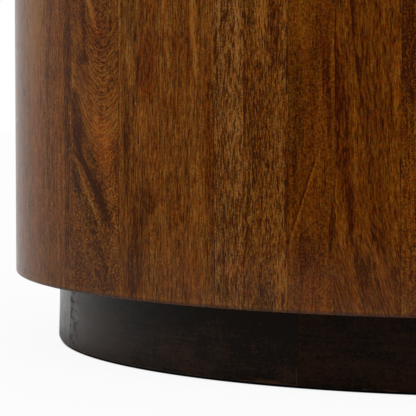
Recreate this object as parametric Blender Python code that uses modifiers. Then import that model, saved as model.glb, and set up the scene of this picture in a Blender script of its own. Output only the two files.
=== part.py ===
"""Round drum coffee table: a coopered wall of upright wooden staves under a boarded round top,
standing on a recessed dark plinth ring with four screw-in levelling feet.

Units are metres, +Z is up, and the origin lies on the floor under the middle of the table.
Angles turn about +Z from +X, so the front of the table faces -Y.
"""

import math

import bmesh
import bpy
from mathutils import Matrix

# Overall sizes
DRUM_RADIUS = 0.457
TABLE_HEIGHT = 0.400
UNDERSIDE_HEIGHT = 0.066
ARRIS = 0.0025

# Clearances, how far a cutter reaches past the face that it opens, and what counts as one point
GLUE_LINE = 0.0003
RUNNING_GAP = 0.0003
CUT_MARGIN = 0.005
MERGE_DISTANCE = 0.00001

# Staves: widths along the outer face, in turn from the first joint.
# The back staves share what the front ones leave of the circle, in the ratios of their mix.
STAVE_THICKNESS = 0.022
FIRST_JOINT_DEG = -155.85
FRONT_STAVE_WIDTHS = (0.073, 0.049, 0.072, 0.108, 0.028, 0.040, 0.039, 0.053)
BACK_STAVE_MIX = (0.096, 0.058, 0.118, 0.074, 0.104, 0.066, 0.094, 0.082, 0.112)
BACK_STAVE_ROUNDS = 3

# Top boards from the front edge to the back edge, in the ratios of their mix
TOP_THICKNESS = 0.022
TOP_BOARD_MIX = (0.118, 0.146, 0.124, 0.152, 0.128, 0.140, 0.106)

# Plywood rings inside the drum
RING_THICKNESS = 0.018
RING_WIDTH = 0.075

# Plinth ring: its wall leans in by the flare from floor to top
PLINTH_RECESS = 0.041
PLINTH_WALL = 0.030
PLINTH_FLARE = 0.0015
PLINTH_SEGMENTS = 8
PLINTH_SEAM_DEG = -110.95
FLOOR_GAP = 0.002

# Levelling feet and their threaded inserts
FOOT_COUNT = 4
PAD_DIAMETER = 0.018
PAD_THICKNESS = 0.004
PAD_CHAMFER = 0.0008
STEM_DIAMETER = 0.008
STEM_LENGTH = 0.034
STEM_CHAMFER = 0.001
INSERT_WALL = 0.0018
INSERT_LENGTH = 0.024
FLANGE_WIDTH = 0.0025
FLANGE_THICKNESS = 0.0015

# Facets
STAVE_STEP = math.radians(2.0)
PLINTH_STEP = math.radians(3.2)
TOP_STEPS = 120
RING_STEPS = 96
SMALL_STEPS = 24
ARRIS_STEPS = 3
SMOOTH_ANGLE = math.radians(25.0)

# Finishes: linear red, green and blue, then roughness and metallic value
FINISHES = {
    "stave_wood": ((0.150, 0.056, 0.014), 0.42, 0.0),
    "top_wood": ((0.160, 0.060, 0.015), 0.40, 0.0),
    "plywood": ((0.480, 0.330, 0.190), 0.75, 0.0),
    "plinth_wood": ((0.012, 0.009, 0.007), 0.45, 0.0),
    "zinc_steel": ((0.560, 0.560, 0.540), 0.35, 1.0),
    "black_nylon": ((0.015, 0.015, 0.016), 0.60, 0.0),
}

# Places that follow from the sizes above
STAVE_INNER_RADIUS = DRUM_RADIUS - STAVE_THICKNESS
TOP_UNDERSIDE = TABLE_HEIGHT - TOP_THICKNESS
STAVE_TOP = TOP_UNDERSIDE - GLUE_LINE
RING_OUTER_RADIUS = STAVE_INNER_RADIUS - GLUE_LINE
RING_INNER_RADIUS = RING_OUTER_RADIUS - RING_WIDTH
PLINTH_RADIUS = DRUM_RADIUS - PLINTH_RECESS
PLINTH_INNER_RADIUS = PLINTH_RADIUS - PLINTH_WALL
PLINTH_TOP = UNDERSIDE_HEIGHT - GLUE_LINE
FOOT_CIRCLE_RADIUS = PLINTH_RADIUS - PLINTH_WALL / 2
PAD_RADIUS = PAD_DIAMETER / 2
STEM_RADIUS = STEM_DIAMETER / 2
STEM_TOP = PAD_THICKNESS + STEM_LENGTH
INSERT_BORE_RADIUS = STEM_RADIUS + RUNNING_GAP
INSERT_RADIUS = INSERT_BORE_RADIUS + INSERT_WALL
FLANGE_RADIUS = INSERT_RADIUS + FLANGE_WIDTH
INSERT_BOTTOM = PAD_THICKNESS + RUNNING_GAP
INSERT_TOP = INSERT_BOTTOM + INSERT_LENGTH
FLANGE_TOP = INSERT_BOTTOM + FLANGE_THICKNESS
FOOT_HOLE_RADIUS = INSERT_RADIUS + GLUE_LINE
FOOT_HOLE_TOP = max(STEM_TOP, INSERT_TOP) + RUNNING_GAP
COUNTERBORE_RADIUS = max(PAD_RADIUS, FLANGE_RADIUS) + RUNNING_GAP
COUNTERBORE_TOP = FLANGE_TOP + GLUE_LINE


def clear_scene():
    """Remove every object that the scene starts with."""
    for obj in list(bpy.data.objects):
        bpy.data.objects.remove(obj, do_unlink=True)


def make_collection(name):
    """Add a collection to the scene."""
    collection = bpy.data.collections.new(name)
    bpy.context.scene.collection.children.link(collection)
    return collection


def make_finish(name):
    """Make the material of one finish from the table above."""
    color, roughness, metallic = FINISHES[name]
    material = bpy.data.materials.new(name)
    material.use_nodes = True
    shader = material.node_tree.nodes["Principled BSDF"]
    shader.inputs["Base Color"].default_value = (*color, 1.0)
    shader.inputs["Roughness"].default_value = roughness
    shader.inputs["Metallic"].default_value = metallic
    return material


def add_part(name, mesh, collection, finish, parent):
    """Add one named piece, with its finish, under the table's empty."""
    part = bpy.data.objects.new(name, mesh)
    if not mesh.materials:
        mesh.materials.append(finish)
    part.parent = parent
    collection.objects.link(part)
    return part


def bottom_arris(radius, bottom):
    """The round outer edge at the bottom of a wall's section, from its underside up to its face."""
    points = []
    for step in range(ARRIS_STEPS + 1):
        angle = 0.5 * math.pi * step / ARRIS_STEPS
        outward = radius - ARRIS + ARRIS * math.sin(angle)
        points.append((outward, bottom + ARRIS - ARRIS * math.cos(angle)))
    return points


def smooth(mesh):
    """Shade a mesh smooth, and keep its edges sharp."""
    mesh.shade_smooth()
    mesh.set_sharp_from_angle(angle=SMOOTH_ANGLE)
    return mesh


def spun_wall(name, section, sweep, step):
    """A length of round wall: its section, as (radius, height) points, spun about Z from the XZ plane."""
    shape = bmesh.new()
    corners = [shape.verts.new((radius, 0.0, height)) for radius, height in section]
    face = shape.faces.new(corners)
    bmesh.ops.spin(
        shape,
        geom=[*corners, *face.edges, face],
        cent=(0.0, 0.0, 0.0),
        axis=(0.0, 0.0, 1.0),
        angle=sweep,
        steps=max(2, math.ceil(sweep / step)),
        use_duplicate=False,
    )
    bmesh.ops.recalc_face_normals(shape, faces=shape.faces)
    mesh = bpy.data.meshes.new(name)
    shape.to_mesh(mesh)
    shape.free()
    return smooth(mesh)


def turned_mesh(name, profile, closed, steps):
    """A turned piece: (radius, height) points joined in turn in the XZ plane and turned about Z."""
    edges = [(index, index + 1) for index in range(len(profile) - 1)]
    if closed:
        edges.append((len(profile) - 1, 0))
    outline = bpy.data.meshes.new(name + "_outline")
    outline.from_pydata([(radius, 0.0, height) for radius, height in profile], edges, [])
    blank = bpy.data.objects.new(name + "_blank", outline)
    bpy.context.scene.collection.objects.link(blank)
    screw = blank.modifiers.new("Turn", "SCREW")
    screw.axis = "Z"
    screw.steps = steps
    screw.render_steps = steps
    screw.use_merge_vertices = True
    screw.merge_threshold = MERGE_DISTANCE
    graph = bpy.context.evaluated_depsgraph_get()
    mesh = bpy.data.meshes.new_from_object(blank.evaluated_get(graph))
    mesh.name = name
    bpy.data.objects.remove(blank)
    bpy.data.meshes.remove(outline)
    return smooth(mesh)


def make_staves(collection, finish, parent):
    """The drum's wall: staves side by side round the whole circle."""
    front_arc = sum(FRONT_STAVE_WIDTHS)
    back_mix = BACK_STAVE_MIX * BACK_STAVE_ROUNDS
    back_scale = (2 * math.pi * DRUM_RADIUS - front_arc) / sum(back_mix)
    widths = [*FRONT_STAVE_WIDTHS, *(width * back_scale for width in back_mix)]
    section = [
        (STAVE_INNER_RADIUS, UNDERSIDE_HEIGHT),
        *bottom_arris(DRUM_RADIUS, UNDERSIDE_HEIGHT),
        (DRUM_RADIUS, STAVE_TOP),
        (STAVE_INNER_RADIUS, STAVE_TOP),
    ]
    joint_angle = math.radians(FIRST_JOINT_DEG)
    for number, width in enumerate(widths, start=1):
        name = f"stave_{number:02d}"
        sweep = (width - GLUE_LINE) / DRUM_RADIUS
        mesh = spun_wall(name, section, sweep, STAVE_STEP)
        stave = add_part(name, mesh, collection, finish, parent)
        stave.rotation_euler.z = joint_angle + 0.5 * GLUE_LINE / DRUM_RADIUS
        joint_angle += width / DRUM_RADIUS


def round_panel():
    """The whole top before it is cut into boards: a disc with its upper rim rounded."""
    panel = bmesh.new()
    middle = TABLE_HEIGHT - TOP_THICKNESS / 2
    bmesh.ops.create_cone(
        panel,
        cap_ends=True,
        segments=TOP_STEPS,
        radius1=DRUM_RADIUS,
        radius2=DRUM_RADIUS,
        depth=TOP_THICKNESS,
        matrix=Matrix.Translation((0.0, 0.0, middle)),
    )
    rim = [edge for edge in panel.edges if all(vert.co.z > middle for vert in edge.verts)]
    bmesh.ops.bevel(
        panel,
        geom=rim,
        offset=ARRIS,
        segments=ARRIS_STEPS,
        profile=0.5,
        affect="EDGES",
    )
    return panel


def make_top_boards(collection, finish, parent):
    """The top: one round panel sawn along X into boards."""
    scale = 2 * DRUM_RADIUS / sum(TOP_BOARD_MIX)
    front = -DRUM_RADIUS
    for number, share in enumerate(TOP_BOARD_MIX, start=1):
        name = f"top_board_{number}"
        back = front + share * scale
        board = round_panel()
        for edge_y, facing in ((front + GLUE_LINE / 2, -1.0), (back - GLUE_LINE / 2, 1.0)):
            bmesh.ops.bisect_plane(
                board,
                geom=[*board.verts, *board.edges, *board.faces],
                plane_co=(0.0, edge_y, 0.0),
                plane_no=(0.0, facing, 0.0),
                clear_outer=True,
            )
            sawn = [edge for edge in board.edges if edge.is_boundary]
            bmesh.ops.holes_fill(board, edges=sawn, sides=0)
        bmesh.ops.recalc_face_normals(board, faces=board.faces)
        mesh = bpy.data.meshes.new(name)
        board.to_mesh(mesh)
        board.free()
        add_part(name, smooth(mesh), collection, finish, parent)
        front = back


def make_rings(collection, finish, parent):
    """The plywood rings that the staves are glued round, flush with the staves' two ends."""
    bottoms = {
        "lower_ring": UNDERSIDE_HEIGHT,
        "upper_ring": STAVE_TOP - RING_THICKNESS,
    }
    for name, bottom in bottoms.items():
        section = [
            (RING_OUTER_RADIUS, bottom + RING_THICKNESS),
            (RING_OUTER_RADIUS, bottom),
            (RING_INNER_RADIUS, bottom),
            (RING_INNER_RADIUS, bottom + RING_THICKNESS),
        ]
        mesh = turned_mesh(name, section, closed=True, steps=RING_STEPS)
        add_part(name, mesh, collection, finish, parent)


def foot_places():
    """Where the feet stand: at mid length of evenly spread plinth segments."""
    segment_turn = 2 * math.pi / PLINTH_SEGMENTS
    places = []
    for number in range(FOOT_COUNT):
        segment = number * PLINTH_SEGMENTS // FOOT_COUNT
        angle = math.radians(PLINTH_SEAM_DEG) + (segment + 0.5) * segment_turn
        x = FOOT_CIRCLE_RADIUS * math.cos(angle)
        y = FOOT_CIRCLE_RADIUS * math.sin(angle)
        places.append((segment, (x, y, 0.0)))
    return places


def make_plinth(collection, finish, parent):
    """The recessed plinth: round segments end to end. Returns them in order."""
    section = [
        (PLINTH_INNER_RADIUS, FLOOR_GAP),
        *bottom_arris(PLINTH_RADIUS, FLOOR_GAP),
        (PLINTH_RADIUS - PLINTH_FLARE, PLINTH_TOP),
        (PLINTH_INNER_RADIUS, PLINTH_TOP),
    ]
    segment_turn = 2 * math.pi / PLINTH_SEGMENTS
    glue_turn = GLUE_LINE / PLINTH_RADIUS
    segments = []
    for number in range(PLINTH_SEGMENTS):
        name = f"plinth_segment_{number + 1}"
        mesh = spun_wall(name, section, segment_turn - glue_turn, PLINTH_STEP)
        segment = add_part(name, mesh, collection, finish, parent)
        turned_to = math.radians(PLINTH_SEAM_DEG) + number * segment_turn
        segment.rotation_euler.z = turned_to + glue_turn / 2
        segments.append(segment)
    return segments


def bore_for_feet(segments, cutters):
    """Cut the stepped holes that take the inserts and hide the upper part of the pads."""
    profile = [
        (0.0, FOOT_HOLE_TOP),
        (FOOT_HOLE_RADIUS, FOOT_HOLE_TOP),
        (FOOT_HOLE_RADIUS, COUNTERBORE_TOP),
        (COUNTERBORE_RADIUS, COUNTERBORE_TOP),
        (COUNTERBORE_RADIUS, FLOOR_GAP - CUT_MARGIN),
        (0.0, FLOOR_GAP - CUT_MARGIN),
    ]
    mesh = turned_mesh("foot_hole", profile, closed=False, steps=SMALL_STEPS)
    for number, (segment, place) in enumerate(foot_places(), start=1):
        cutter = bpy.data.objects.new(f"foot_hole_{number}", mesh)
        cutter.location = place
        cutter.hide_render = True
        cutter.display_type = "WIRE"
        cutters.objects.link(cutter)
        bore = segments[segment].modifiers.new("Foot hole", "BOOLEAN")
        bore.operation = "DIFFERENCE"
        bore.solver = "EXACT"
        bore.object = cutter


def make_inserts(collection, finish, parent):
    """The threaded inserts: flanged bushes in the plinth, one over each foot."""
    section = [
        (INSERT_RADIUS, INSERT_TOP),
        (INSERT_RADIUS, FLANGE_TOP),
        (FLANGE_RADIUS, FLANGE_TOP),
        (FLANGE_RADIUS, INSERT_BOTTOM),
        (INSERT_BORE_RADIUS, INSERT_BOTTOM),
        (INSERT_BORE_RADIUS, INSERT_TOP),
    ]
    mesh = turned_mesh("foot_insert", section, closed=True, steps=SMALL_STEPS)
    for number, (_, place) in enumerate(foot_places(), start=1):
        insert = add_part(f"foot_insert_{number}", mesh, collection, finish, parent)
        insert.location = place


def make_feet(collection, finish, parent):
    """The levelling feet: a pad and its threaded stem in one piece, each on its own screw axis."""
    profile = [
        (0.0, STEM_TOP),
        (STEM_RADIUS - STEM_CHAMFER, STEM_TOP),
        (STEM_RADIUS, STEM_TOP - STEM_CHAMFER),
        (STEM_RADIUS, PAD_THICKNESS),
        (PAD_RADIUS, PAD_THICKNESS),
        (PAD_RADIUS, PAD_CHAMFER),
        (PAD_RADIUS - PAD_CHAMFER, 0.0),
        (0.0, 0.0),
    ]
    mesh = turned_mesh("levelling_foot", profile, closed=False, steps=SMALL_STEPS)
    for number, (_, place) in enumerate(foot_places(), start=1):
        foot = add_part(f"levelling_foot_{number}", mesh, collection, finish, parent)
        foot.location = place


def main():
    """Build the whole table."""
    clear_scene()
    parts = make_collection("drum_coffee_table")
    cutters = make_collection("cutters")
    table = bpy.data.objects.new("table_origin", None)
    parts.objects.link(table)
    finishes = {name: make_finish(name) for name in FINISHES}
    make_staves(parts, finishes["stave_wood"], table)
    make_top_boards(parts, finishes["top_wood"], table)
    make_rings(parts, finishes["plywood"], table)
    segments = make_plinth(parts, finishes["plinth_wood"], table)
    bore_for_feet(segments, cutters)
    make_inserts(parts, finishes["zinc_steel"], table)
    make_feet(parts, finishes["black_nylon"], table)


if __name__ == "__main__":
    main()
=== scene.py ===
"""Looks of the round drum coffee table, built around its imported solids.

Metres, +Z up, the front of the table faces -Y. Angles turn about +Z from +X.
Board coordinates, which the timber finishes use, run across the board (x), into it (y) and along it (z).
"""

import logging
import math
import random
from collections.abc import Callable, Iterator
from contextlib import contextmanager
from dataclasses import dataclass, field, fields
from enum import Enum

import bmesh
import bpy
from mathutils import Euler, Matrix, Vector


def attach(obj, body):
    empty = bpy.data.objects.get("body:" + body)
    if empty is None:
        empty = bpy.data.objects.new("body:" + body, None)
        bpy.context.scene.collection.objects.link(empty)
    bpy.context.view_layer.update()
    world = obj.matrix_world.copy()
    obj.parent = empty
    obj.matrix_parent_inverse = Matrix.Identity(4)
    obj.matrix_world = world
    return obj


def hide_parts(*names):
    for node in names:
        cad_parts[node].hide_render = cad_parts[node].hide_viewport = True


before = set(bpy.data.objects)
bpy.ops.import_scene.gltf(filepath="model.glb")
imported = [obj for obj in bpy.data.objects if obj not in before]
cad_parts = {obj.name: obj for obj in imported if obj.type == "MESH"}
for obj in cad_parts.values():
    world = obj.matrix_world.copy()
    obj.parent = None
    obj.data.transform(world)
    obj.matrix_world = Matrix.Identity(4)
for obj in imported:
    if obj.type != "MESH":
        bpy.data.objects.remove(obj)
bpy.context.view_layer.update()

LOG = logging.getLogger("drum_table")

Colour = tuple[float, float, float]
Triple = tuple[float, float, float]
Link = bpy.types.NodeSocket | float | tuple

MM = 0.001
NEAR = 0.00005
MERGE_DISTANCE = 0.000005
ORIGIN: Triple = (0.0, 0.0, 0.0)
TABLE_BODY = "table"

# Detail and roughness of noise with one and with two finer layers
FINE = (1.0, 0.6)
LAYERED = (2.0, 0.6)


class Slot(Enum):
    """The record's material slots."""

    STAVE_WOOD = "stave_wood"
    TOP_WOOD = "top_wood"
    PLYWOOD = "plywood"
    PLINTH_WOOD = "plinth_wood"
    ZINC_STEEL = "zinc_steel"
    BLACK_NYLON = "black_nylon"


class Bench:
    """Modelling steps that the pieces share, done with Blender's own tools as by hand.

    Edges that turn by more than SHARP are eased, and faces that turn by less than SMOOTH are shaded as one.
    """

    ARRIS_STEPS = 5
    EASE_STEPS = 2
    SHARP = math.radians(40.0)
    SMOOTH = math.radians(32.0)

    @staticmethod
    def clear_selection() -> None:
        """Leave edit mode and deselect everything."""
        if bpy.context.mode != "OBJECT":
            bpy.ops.object.mode_set(mode="OBJECT")
        bpy.ops.object.select_all(action="DESELECT")

    @staticmethod
    def take(piece: bpy.types.Object) -> None:
        """Make one piece the only selected and the active object.

        Args:
            piece: The object to work on.
        """
        Bench.clear_selection()
        piece.select_set(True)
        bpy.context.view_layer.objects.active = piece

    @staticmethod
    @contextmanager
    def editing(piece: bpy.types.Object) -> Iterator[None]:
        """Open a piece in edit mode, and leave that mode after the steps inside.

        Args:
            piece: The object to edit.

        Yields:
            Nothing.
        """
        Bench.take(piece)
        bpy.ops.object.mode_set(mode="EDIT")
        yield
        bpy.ops.object.mode_set(mode="OBJECT")

    @staticmethod
    def settle(name: str) -> bpy.types.Object:
        """Name the object just added, and put its place, turn and scale into its mesh.

        Args:
            name: The name of the object and of its mesh.

        Returns:
            The object.
        """
        piece = bpy.context.active_object
        piece.name = piece.data.name = name
        Bench.take(piece)
        bpy.ops.object.transform_apply(location=True, rotation=True, scale=True)
        return piece

    @staticmethod
    def pick(
        piece: bpy.types.Object,
        kind: str,
        test: Callable[[Vector], bool],
        every_corner: bool = True,
    ) -> None:
        """Select parts of the active mesh, in edit mode, by where they are.

        Args:
            piece: The object that is in edit mode.
            kind: VERT, EDGE or FACE.
            test: Says of a corner's position whether it belongs to the selection.
            every_corner: Whether all corners of an edge or face have to pass, or only its middle.
        """
        bpy.ops.mesh.select_mode(type=kind)
        bpy.ops.mesh.select_all(action="DESELECT")
        shape = bmesh.from_edit_mesh(piece.data)
        if kind == "VERT":
            for vert in shape.verts:
                vert.select_set(test(vert.co))
        else:
            for part in shape.edges if kind == "EDGE" else shape.faces:
                places = [vert.co for vert in part.verts]
                if not every_corner:
                    places = [sum(places, Vector()) / len(places)]
                if all(test(place) for place in places):
                    part.select_set(True)
        shape.select_flush_mode()
        bmesh.update_edit_mesh(piece.data)

    @staticmethod
    def face_out() -> None:
        """Turn all faces of the mesh in edit mode outwards."""
        bpy.ops.mesh.select_all(action="SELECT")
        bpy.ops.mesh.normals_make_consistent(inside=False)

    @staticmethod
    def weld() -> None:
        """Merge the doubled corners of the mesh in edit mode, and turn its faces outwards."""
        bpy.ops.mesh.select_all(action="SELECT")
        bpy.ops.mesh.remove_doubles(threshold=MERGE_DISTANCE)
        Bench.face_out()

    @staticmethod
    def turned_blank(
        name: str,
        sides: int,
        radius: float,
        low: float,
        high: float,
        x: float = 0.0,
        y: float = 0.0,
    ) -> bpy.types.Object:
        """Start a round piece from a plain upright cylinder.

        Args:
            name: The object's name.
            sides: Steps round the cylinder.
            radius: Its radius.
            low: Height of its underside.
            high: Height of its upper side.
            x: Place of its axis along X.
            y: Place of its axis along Y.

        Returns:
            The cylinder, settled and in object mode.
        """
        Bench.clear_selection()
        bpy.ops.mesh.primitive_cylinder_add(
            vertices=sides, radius=radius, depth=high - low, location=(x, y, (low + high) / 2)
        )
        return Bench.settle(name)

    @staticmethod
    def upright_section(
        name: str,
        inner: float,
        outer: float,
        low: float,
        high: float,
        turn: float,
    ) -> bpy.types.Object:
        """Start a round wall from its section: an upright plane that stands on a radius.

        Args:
            name: The object's name.
            inner: Inner radius.
            outer: Outer radius.
            low: Height of the underside.
            high: Height of the upper edge.
            turn: Angle of the radius that the section stands on.

        Returns:
            The plane, settled and in object mode.
        """
        Bench.clear_selection()
        middle = (inner + outer) / 2
        bpy.ops.mesh.primitive_plane_add(
            size=1.0,
            location=(middle * math.cos(turn), middle * math.sin(turn), (low + high) / 2),
            rotation=(math.pi / 2, 0.0, turn),
        )
        bpy.context.active_object.scale = (outer - inner, high - low, 1.0)
        return Bench.settle(name)

    @staticmethod
    def round_corner(piece: bpy.types.Object, radius: float, height: float, offset: float) -> None:
        """Round one corner of a section, in edit mode.

        Args:
            piece: The section.
            radius: The corner's distance from the Z axis.
            height: The corner's height.
            offset: How far the rounding reaches along the edges.
        """
        Bench.pick(
            piece,
            "VERT",
            lambda co: abs(math.hypot(co.x, co.y) - radius) < NEAR and abs(co.z - height) < NEAR,
        )
        bpy.ops.mesh.bevel(offset=offset, segments=Bench.ARRIS_STEPS, affect="VERTICES")

    @staticmethod
    def sweep(angle: float, step: float) -> None:
        """Spin the section in edit mode about Z into a wall, and close and turn out its faces.

        Args:
            angle: How far it is spun.
            step: The largest turn between two copies of the section.
        """
        bpy.ops.mesh.select_mode(type="FACE")
        bpy.ops.mesh.select_all(action="SELECT")
        bpy.ops.mesh.spin(
            steps=max(2, math.ceil(angle / step)),
            dupli=False,
            angle=angle,
            center=ORIGIN,
            axis=(0.0, 0.0, -1.0),
        )
        Bench.weld()

    @staticmethod
    def shade(piece: bpy.types.Object, angle: float) -> None:
        """Shade a piece smooth across edges that turn less than an angle."""
        Bench.take(piece)
        bpy.ops.object.shade_smooth_by_angle(angle=angle)

    @staticmethod
    def ease_edges(piece: bpy.types.Object, width: float) -> None:
        """Round a finished piece's sharp edges a little and shade it smooth.

        Args:
            piece: The piece, in object mode.
            width: Width of the rounding.
        """
        Bench.take(piece)
        bevel = piece.modifiers.new("Ease", "BEVEL")
        bevel.width = width
        bevel.segments = Bench.EASE_STEPS
        bevel.limit_method = "ANGLE"
        bevel.angle_limit = Bench.SHARP
        bevel.use_clamp_overlap = True
        bpy.ops.object.modifier_apply(modifier=bevel.name)
        Bench.shade(piece, Bench.SMOOTH)
        shading = piece.modifiers.new("Shading", "WEIGHTED_NORMAL")
        shading.keep_sharp = True
        bpy.ops.object.modifier_apply(modifier=shading.name)

    @staticmethod
    def place(
        piece: bpy.types.Object,
        body: str,
        slot: Slot,
        node: str,
        material: bpy.types.Material,
    ) -> None:
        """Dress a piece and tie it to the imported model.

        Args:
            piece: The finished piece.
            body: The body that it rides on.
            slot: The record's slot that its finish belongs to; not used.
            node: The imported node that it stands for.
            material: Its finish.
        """
        piece.data.materials.clear()
        piece.data.materials.append(material)
        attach(piece, body)
        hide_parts(node)
        LOG.info("%s: %d faces on %s", piece.name, len(piece.data.polygons), body)


class Sheet:
    """Short calls that lay nodes on one shader tree and wire them."""

    CRISP_REACH = 0.13

    def __init__(self, tree: bpy.types.NodeTree) -> None:
        """Keep the tree that the nodes go on."""
        self.tree = tree

    def feed(self, socket: bpy.types.NodeSocket, value: Link) -> None:
        """Wire a socket, or set its value.

        Args:
            socket: The input socket.
            value: Another node's output, or a plain value.
        """
        if isinstance(value, bpy.types.NodeSocket):
            self.tree.links.new(value, socket)
        elif isinstance(value, tuple) and len(value) == 3 and socket.type == "RGBA":
            socket.default_value = (*value, 1.0)
        else:
            socket.default_value = value

    def node(self, kind: str, *values: Link, **settings: object) -> bpy.types.Node:
        """Add a node, set its properties and feed its first inputs.

        Args:
            kind: Blender's name of the node type.
            values: Its first inputs in order.
            settings: Properties of the node.

        Returns:
            The node.
        """
        made = self.tree.nodes.new(kind)
        for name, value in settings.items():
            setattr(made, name, value)
        for socket, value in zip(made.inputs, values):
            self.feed(socket, value)
        return made

    def fill(self, node: bpy.types.Node, **inputs: Link) -> bpy.types.Node:
        """Feed inputs of a node by name.

        Args:
            node: The node.
            inputs: Values by socket name, with spaces written as underscores.

        Returns:
            The same node.
        """
        for name, value in inputs.items():
            self.feed(node.inputs[name.replace("_", " ")], value)
        return node

    def group(self, tree: bpy.types.NodeTree, **inputs: Link) -> bpy.types.Node:
        """Place a node group with its own values, named as in fill."""
        return self.fill(self.node("ShaderNodeGroup", node_tree=tree), **inputs)

    def math(self, operation: str, *values: Link) -> bpy.types.NodeSocket:
        """Add a Math node with its inputs in order, and give its result."""
        return self.node("ShaderNodeMath", *values, operation=operation).outputs[0]

    def total(self, start: Link, *terms: tuple[Link, Link]) -> bpy.types.NodeSocket:
        """Add weighted terms to a start value.

        Args:
            start: What the terms are added to.
            terms: Pairs of a value and its weight.

        Returns:
            The sum.
        """
        result = start
        for value, weight in terms:
            result = self.math("MULTIPLY_ADD", value, weight, result)
        return result

    def vector(self, operation: str, *values: Link) -> bpy.types.NodeSocket:
        """Add a Vector Math node with its inputs in order, and give its vector or its length."""
        made = self.node("ShaderNodeVectorMath", *values, operation=operation)
        return made.outputs["Value" if operation == "LENGTH" else "Vector"]

    def join(self, x: Link, y: Link, z: Link) -> bpy.types.NodeSocket:
        """Make a vector of three values."""
        return self.node("ShaderNodeCombineXYZ", x, y, z).outputs[0]

    def split(self, vector: Link) -> tuple[bpy.types.NodeSocket, ...]:
        """Take a vector apart into its three values."""
        return tuple(self.node("ShaderNodeSeparateXYZ", vector).outputs)

    def noise(
        self,
        vector: Link,
        stretch: Triple,
        detail: float = 1.0,
        roughness: float = 0.5,
    ) -> bpy.types.NodeSocket:
        """Add noise in stretched coordinates, as a value around 0.

        Args:
            vector: Where the noise is read.
            stretch: Features per metre along each axis.
            detail: Finer layers added.
            roughness: Strength of the finer layers.

        Returns:
            The noise less a half.
        """
        made = self.node("ShaderNodeTexNoise", noise_dimensions="3D")
        place = self.vector("MULTIPLY", vector, stretch)
        self.fill(made, Vector=place, Scale=1.0, Detail=detail, Roughness=roughness)
        return self.math("SUBTRACT", made.outputs[0], 0.5)

    def line_noise(self, place: Link, scale: float, detail: float = 0.0) -> bpy.types.NodeSocket:
        """Add noise along a line, as a value around 0.

        Args:
            place: Where on the line the noise is read.
            scale: Features per metre.
            detail: Finer layers added.

        Returns:
            The noise less a half.
        """
        made = self.node("ShaderNodeTexNoise", noise_dimensions="1D")
        self.fill(made, W=place, Scale=scale, Detail=detail)
        return self.math("SUBTRACT", made.outputs[0], 0.5)

    def fade(self, value: Link, start: Link, end: Link, smooth: bool = True) -> bpy.types.NodeSocket:
        """Go from 0 at start to 1 at end, and stay there outside.

        Args:
            value: The value that decides.
            start: Where the result is 0.
            end: Where the result is 1.
            smooth: Whether the way between is eased at both ends.

        Returns:
            The result.
        """
        made = self.node("ShaderNodeMapRange", interpolation_type="SMOOTHSTEP" if smooth else "LINEAR")
        return self.fill(made, Value=value, From_Min=start, From_Max=end).outputs[0]

    def crisp(self, value: Link) -> bpy.types.NodeSocket:
        """Draw noise around 0 apart into light and dark, from -0.5 to 0.5."""
        return self.math("SUBTRACT", self.fade(value, -self.CRISP_REACH, self.CRISP_REACH), 0.5)

    def blend(self, factor: Link, first: Link, second: Link) -> bpy.types.NodeSocket:
        """Mix two colours.

        Args:
            factor: Share of the second colour.
            first: The colour at factor 0.
            second: The colour at factor 1.

        Returns:
            The mixed colour.
        """
        made = self.node("ShaderNodeMix", factor, data_type="RGBA")
        self.feed(made.inputs[6], first)
        self.feed(made.inputs[7], second)
        return made.outputs[2]

    def mix_shaders(self, factor: Link, first: Link, second: Link) -> bpy.types.NodeSocket:
        """Mix two shaders, the first at factor 0 and the second at factor 1."""
        return self.node("ShaderNodeMixShader", factor, first, second).outputs[0]


class Group(Sheet):
    """A shader node group in the making, fed with coordinates and with named values and colours."""

    def __init__(
        self,
        name: str,
        values: tuple[str, ...] = (),
        colours: tuple[str, ...] = (),
        results: tuple[str, ...] = ("Color", "Roughness", "Height"),
    ) -> None:
        """Start a group.

        Args:
            name: The group's name.
            values: Names of its value inputs.
            colours: Names of its colour inputs.
            results: Names of its outputs, which are values but for the colour.
        """
        super().__init__(bpy.data.node_groups.new(name, "ShaderNodeTree"))
        self.offer("INPUT", "NodeSocketVector", "Vector")
        self.offer("INPUT", "NodeSocketFloat", *values)
        self.offer("INPUT", "NodeSocketColor", *colours)
        for title in results:
            self.offer("OUTPUT", "NodeSocketColor" if title == "Color" else "NodeSocketFloat", title)
        self.given = self.node("NodeGroupInput").outputs
        self.result = self.node("NodeGroupOutput")

    def offer(self, side: str, kind: str, *titles: str) -> None:
        """Add sockets of one kind to the group's inputs or outputs."""
        for title in titles:
            self.tree.interface.new_socket(title, in_out=side, socket_type=kind)

    def give(self, **outputs: Link) -> bpy.types.NodeTree:
        """Wire the group's outputs by name, and give the finished group."""
        self.fill(self.result, **outputs)
        return self.tree


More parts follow.
